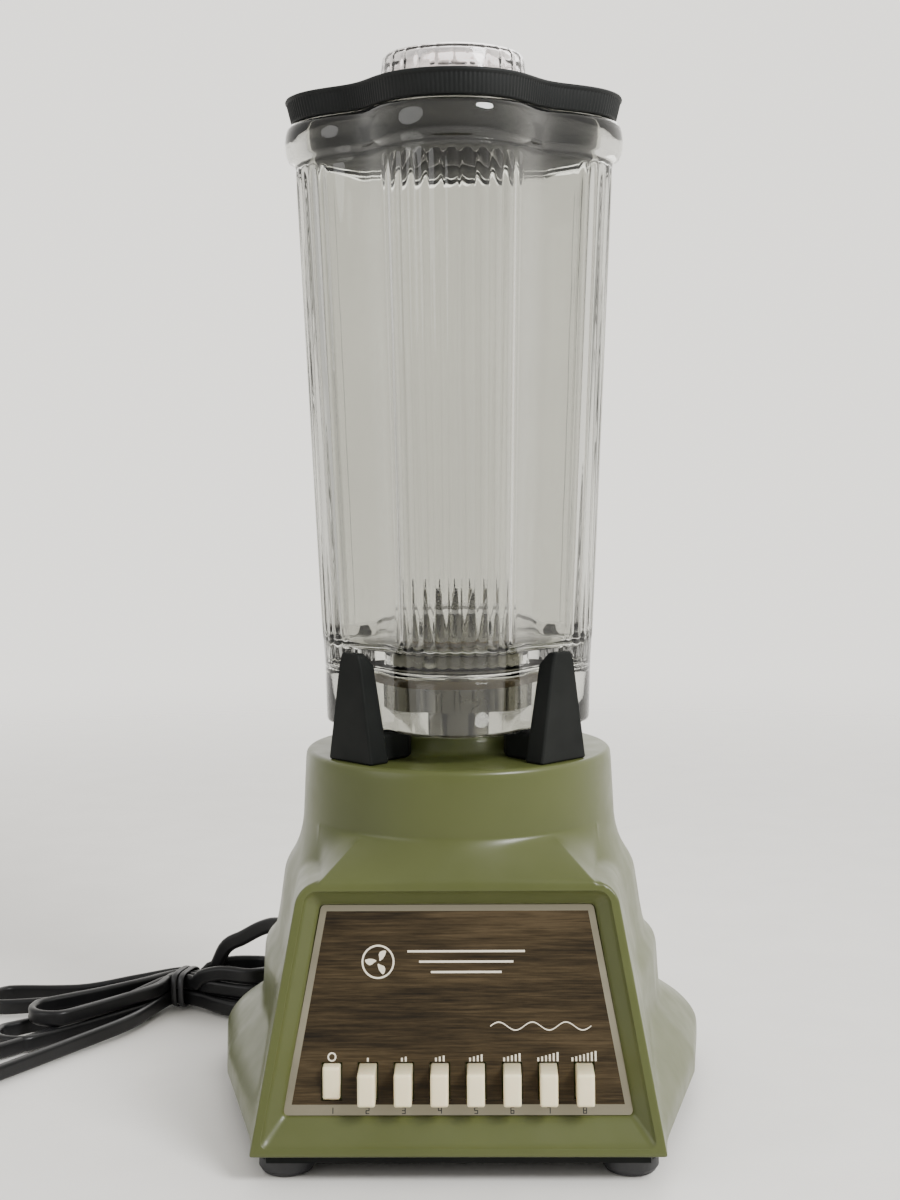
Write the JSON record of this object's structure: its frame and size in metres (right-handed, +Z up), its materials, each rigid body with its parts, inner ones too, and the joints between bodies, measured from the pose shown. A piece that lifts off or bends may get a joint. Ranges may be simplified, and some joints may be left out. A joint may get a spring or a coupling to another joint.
{
  "type": "countertop blender",
  "caption": "Countertop blender with a clover-section reeded glass jar, black lid with clear cap and a push-button motor base with wood-pattern panel.",
  "frame": {"origin": "on the table under the drive axis, which is the middle of the base's footprint", "axes": "+Z up along the drive axis, the push-button front faces -Y, +X to the right"},
  "size_m": [0.3023, 0.205, 0.3915],
  "materials": {
    "green_plastic": "glossy moulded avocado green, stippled ledge",
    "aluminium_trim": "satin silver border",
    "walnut_print": "horizontal walnut grain, satin",
    "ivory_plastic": "smooth ivory plastic",
    "phenolic": "dark phenolic",
    "black_steel": "black painted plate",
    "zinc_steel": "zinc plated",
    "cord_vinyl": "black vinyl with a slight sheen",
    "tie_wire": "plastic covered twist tie",
    "lamination_steel": "stacked laminations",
    "copper_winding": "enamelled copper wire",
    "cast_aluminium": "die cast",
    "bearing_steel": "ground steel",
    "carbon": "carbon block",
    "commutator_copper": "turned copper bars",
    "white_plastic": "moulded fan plastic",
    "coupling_black": "moulded coupling",
    "jar_glass": "clear pressed glass with vertical reeding",
    "gasket_tan": "aged amber rubber",
    "nut_plated": "nickel plated",
    "black_rubber": "matte black rubber",
    "stainless": "ground stainless",
    "lid_vinyl": "black vinyl with a fine knurled band",
    "cap_clear": "clear moulded plastic"
  },
  "bodies": {
    "root": {"housing": "green_plastic", "panel_plate": "aluminium_trim", "panel_inlay": "walnut_print", "switch_body": "phenolic", "bottom_plate": "black_steel", "bottom_screws": "zinc_steel", "speed_module": "phenolic", "strain_relief": "cord_vinyl", "power_cord": "cord_vinyl", "cord_hank": "cord_vinyl", "cord_tie": "tie_wire", "power_plug": "cord_vinyl", "stator_core": "lamination_steel", "field_coils": "copper_winding", "bracket_upper": "cast_aluminium", "bracket_lower": "cast_aluminium", "motor_bolts": "zinc_steel", "motor_bearing_upper": "bearing_steel", "motor_bearing_lower": "bearing_steel", "brush_holders": "phenolic", "brushes": "carbon", "post_front_left": "black_rubber", "post_front_right": "black_rubber", "post_rear_left": "black_rubber", "post_rear_right": "black_rubber", "foot_front_left": "black_rubber", "foot_front_right": "black_rubber", "foot_rear_left": "black_rubber", "foot_rear_right": "black_rubber"},
    "rotor": {"motor_shaft": "bearing_steel", "armature_core": "lamination_steel", "armature_winding": "copper_winding", "commutator": "commutator_copper", "cooling_fan": "white_plastic", "drive_coupling": "coupling_black"},
    "jar": {"jar_glass": "jar_glass", "jar_gasket_inner": "gasket_tan", "jar_gasket_outer": "gasket_tan", "jar_retaining_nut": "nut_plated", "bearing_housing": "nut_plated", "jar_bearing_upper": "bearing_steel", "jar_bearing_lower": "bearing_steel", "shaft_seal": "black_rubber"},
    "agitator": {"blade_shaft": "stainless", "drive_stud": "stainless", "blade_spacer": "stainless", "blade_down": "stainless", "blade_up": "stainless", "blade_nut": "nut_plated"},
    "lid": {"lid": "lid_vinyl"},
    "lid_cap": {"lid_cap": "cap_clear"},
    "button_1": {"button_1": "ivory_plastic"},
    "button_2": {"button_2": "ivory_plastic"},
    "button_3": {"button_3": "ivory_plastic"},
    "button_4": {"button_4": "ivory_plastic"},
    "button_5": {"button_5": "ivory_plastic"},
    "button_6": {"button_6": "ivory_plastic"},
    "button_7": {"button_7": "ivory_plastic"},
    "button_8": {"button_8": "ivory_plastic"}
  },
  "joints": [
    {"name": "rotor_spin", "type": "hinge", "parent": "root", "child": "rotor", "pos_m": [0, 0, 0.07], "axis": [0, 0, 1], "continuous": true},
    {"name": "jar_lift", "type": "slide", "parent": "root", "child": "jar", "axis": [0, 0, 1], "range_m": [0, 0.06]},
    {"name": "agitator_spin", "type": "hinge", "parent": "jar", "child": "agitator", "pos_m": [0, 0, 0.16], "axis": [0, 0, 1], "continuous": true},
    {"name": "lid_lift", "type": "slide", "parent": "jar", "child": "lid", "axis": [0, 0, 1], "range_m": [0, 0.04]},
    {"name": "cap_lift", "type": "slide", "parent": "lid", "child": "lid_cap", "axis": [0, 0, 1], "range_m": [0, 0.05]},
    {"name": "button_1_release", "type": "slide", "parent": "root", "child": "button_1", "axis": [0, -1, 0], "range_m": [0, 0.0075], "stiffness_N_per_m": 120},
    {"name": "button_2_press", "type": "slide", "parent": "root", "child": "button_2", "axis": [0, 1, 0], "range_m": [0, 0.0075], "stiffness_N_per_m": 120, "springref_m": -0.003},
    {"name": "button_3_press", "type": "slide", "parent": "root", "child": "button_3", "axis": [0, 1, 0], "range_m": [0, 0.0075], "stiffness_N_per_m": 120, "springref_m": -0.003},
    {"name": "button_4_press", "type": "slide", "parent": "root", "child": "button_4", "axis": [0, 1, 0], "range_m": [0, 0.0075], "stiffness_N_per_m": 120, "springref_m": -0.003},
    {"name": "button_5_press", "type": "slide", "parent": "root", "child": "button_5", "axis": [0, 1, 0], "range_m": [0, 0.0075], "stiffness_N_per_m": 120, "springref_m": -0.003},
    {"name": "button_6_press", "type": "slide", "parent": "root", "child": "button_6", "axis": [0, 1, 0], "range_m": [0, 0.0075], "stiffness_N_per_m": 120, "springref_m": -0.003},
    {"name": "button_7_press", "type": "slide", "parent": "root", "child": "button_7", "axis": [0, 1, 0], "range_m": [0, 0.0075], "stiffness_N_per_m": 120, "springref_m": -0.003},
    {"name": "button_8_press", "type": "slide", "parent": "root", "child": "button_8", "axis": [0, 1, 0], "range_m": [0, 0.0075], "stiffness_N_per_m": 120, "springref_m": -0.003}
  ],
  "couplings": [
    {"joint": "agitator_spin", "follows": "rotor_spin", "ratio": 1}
  ]
}
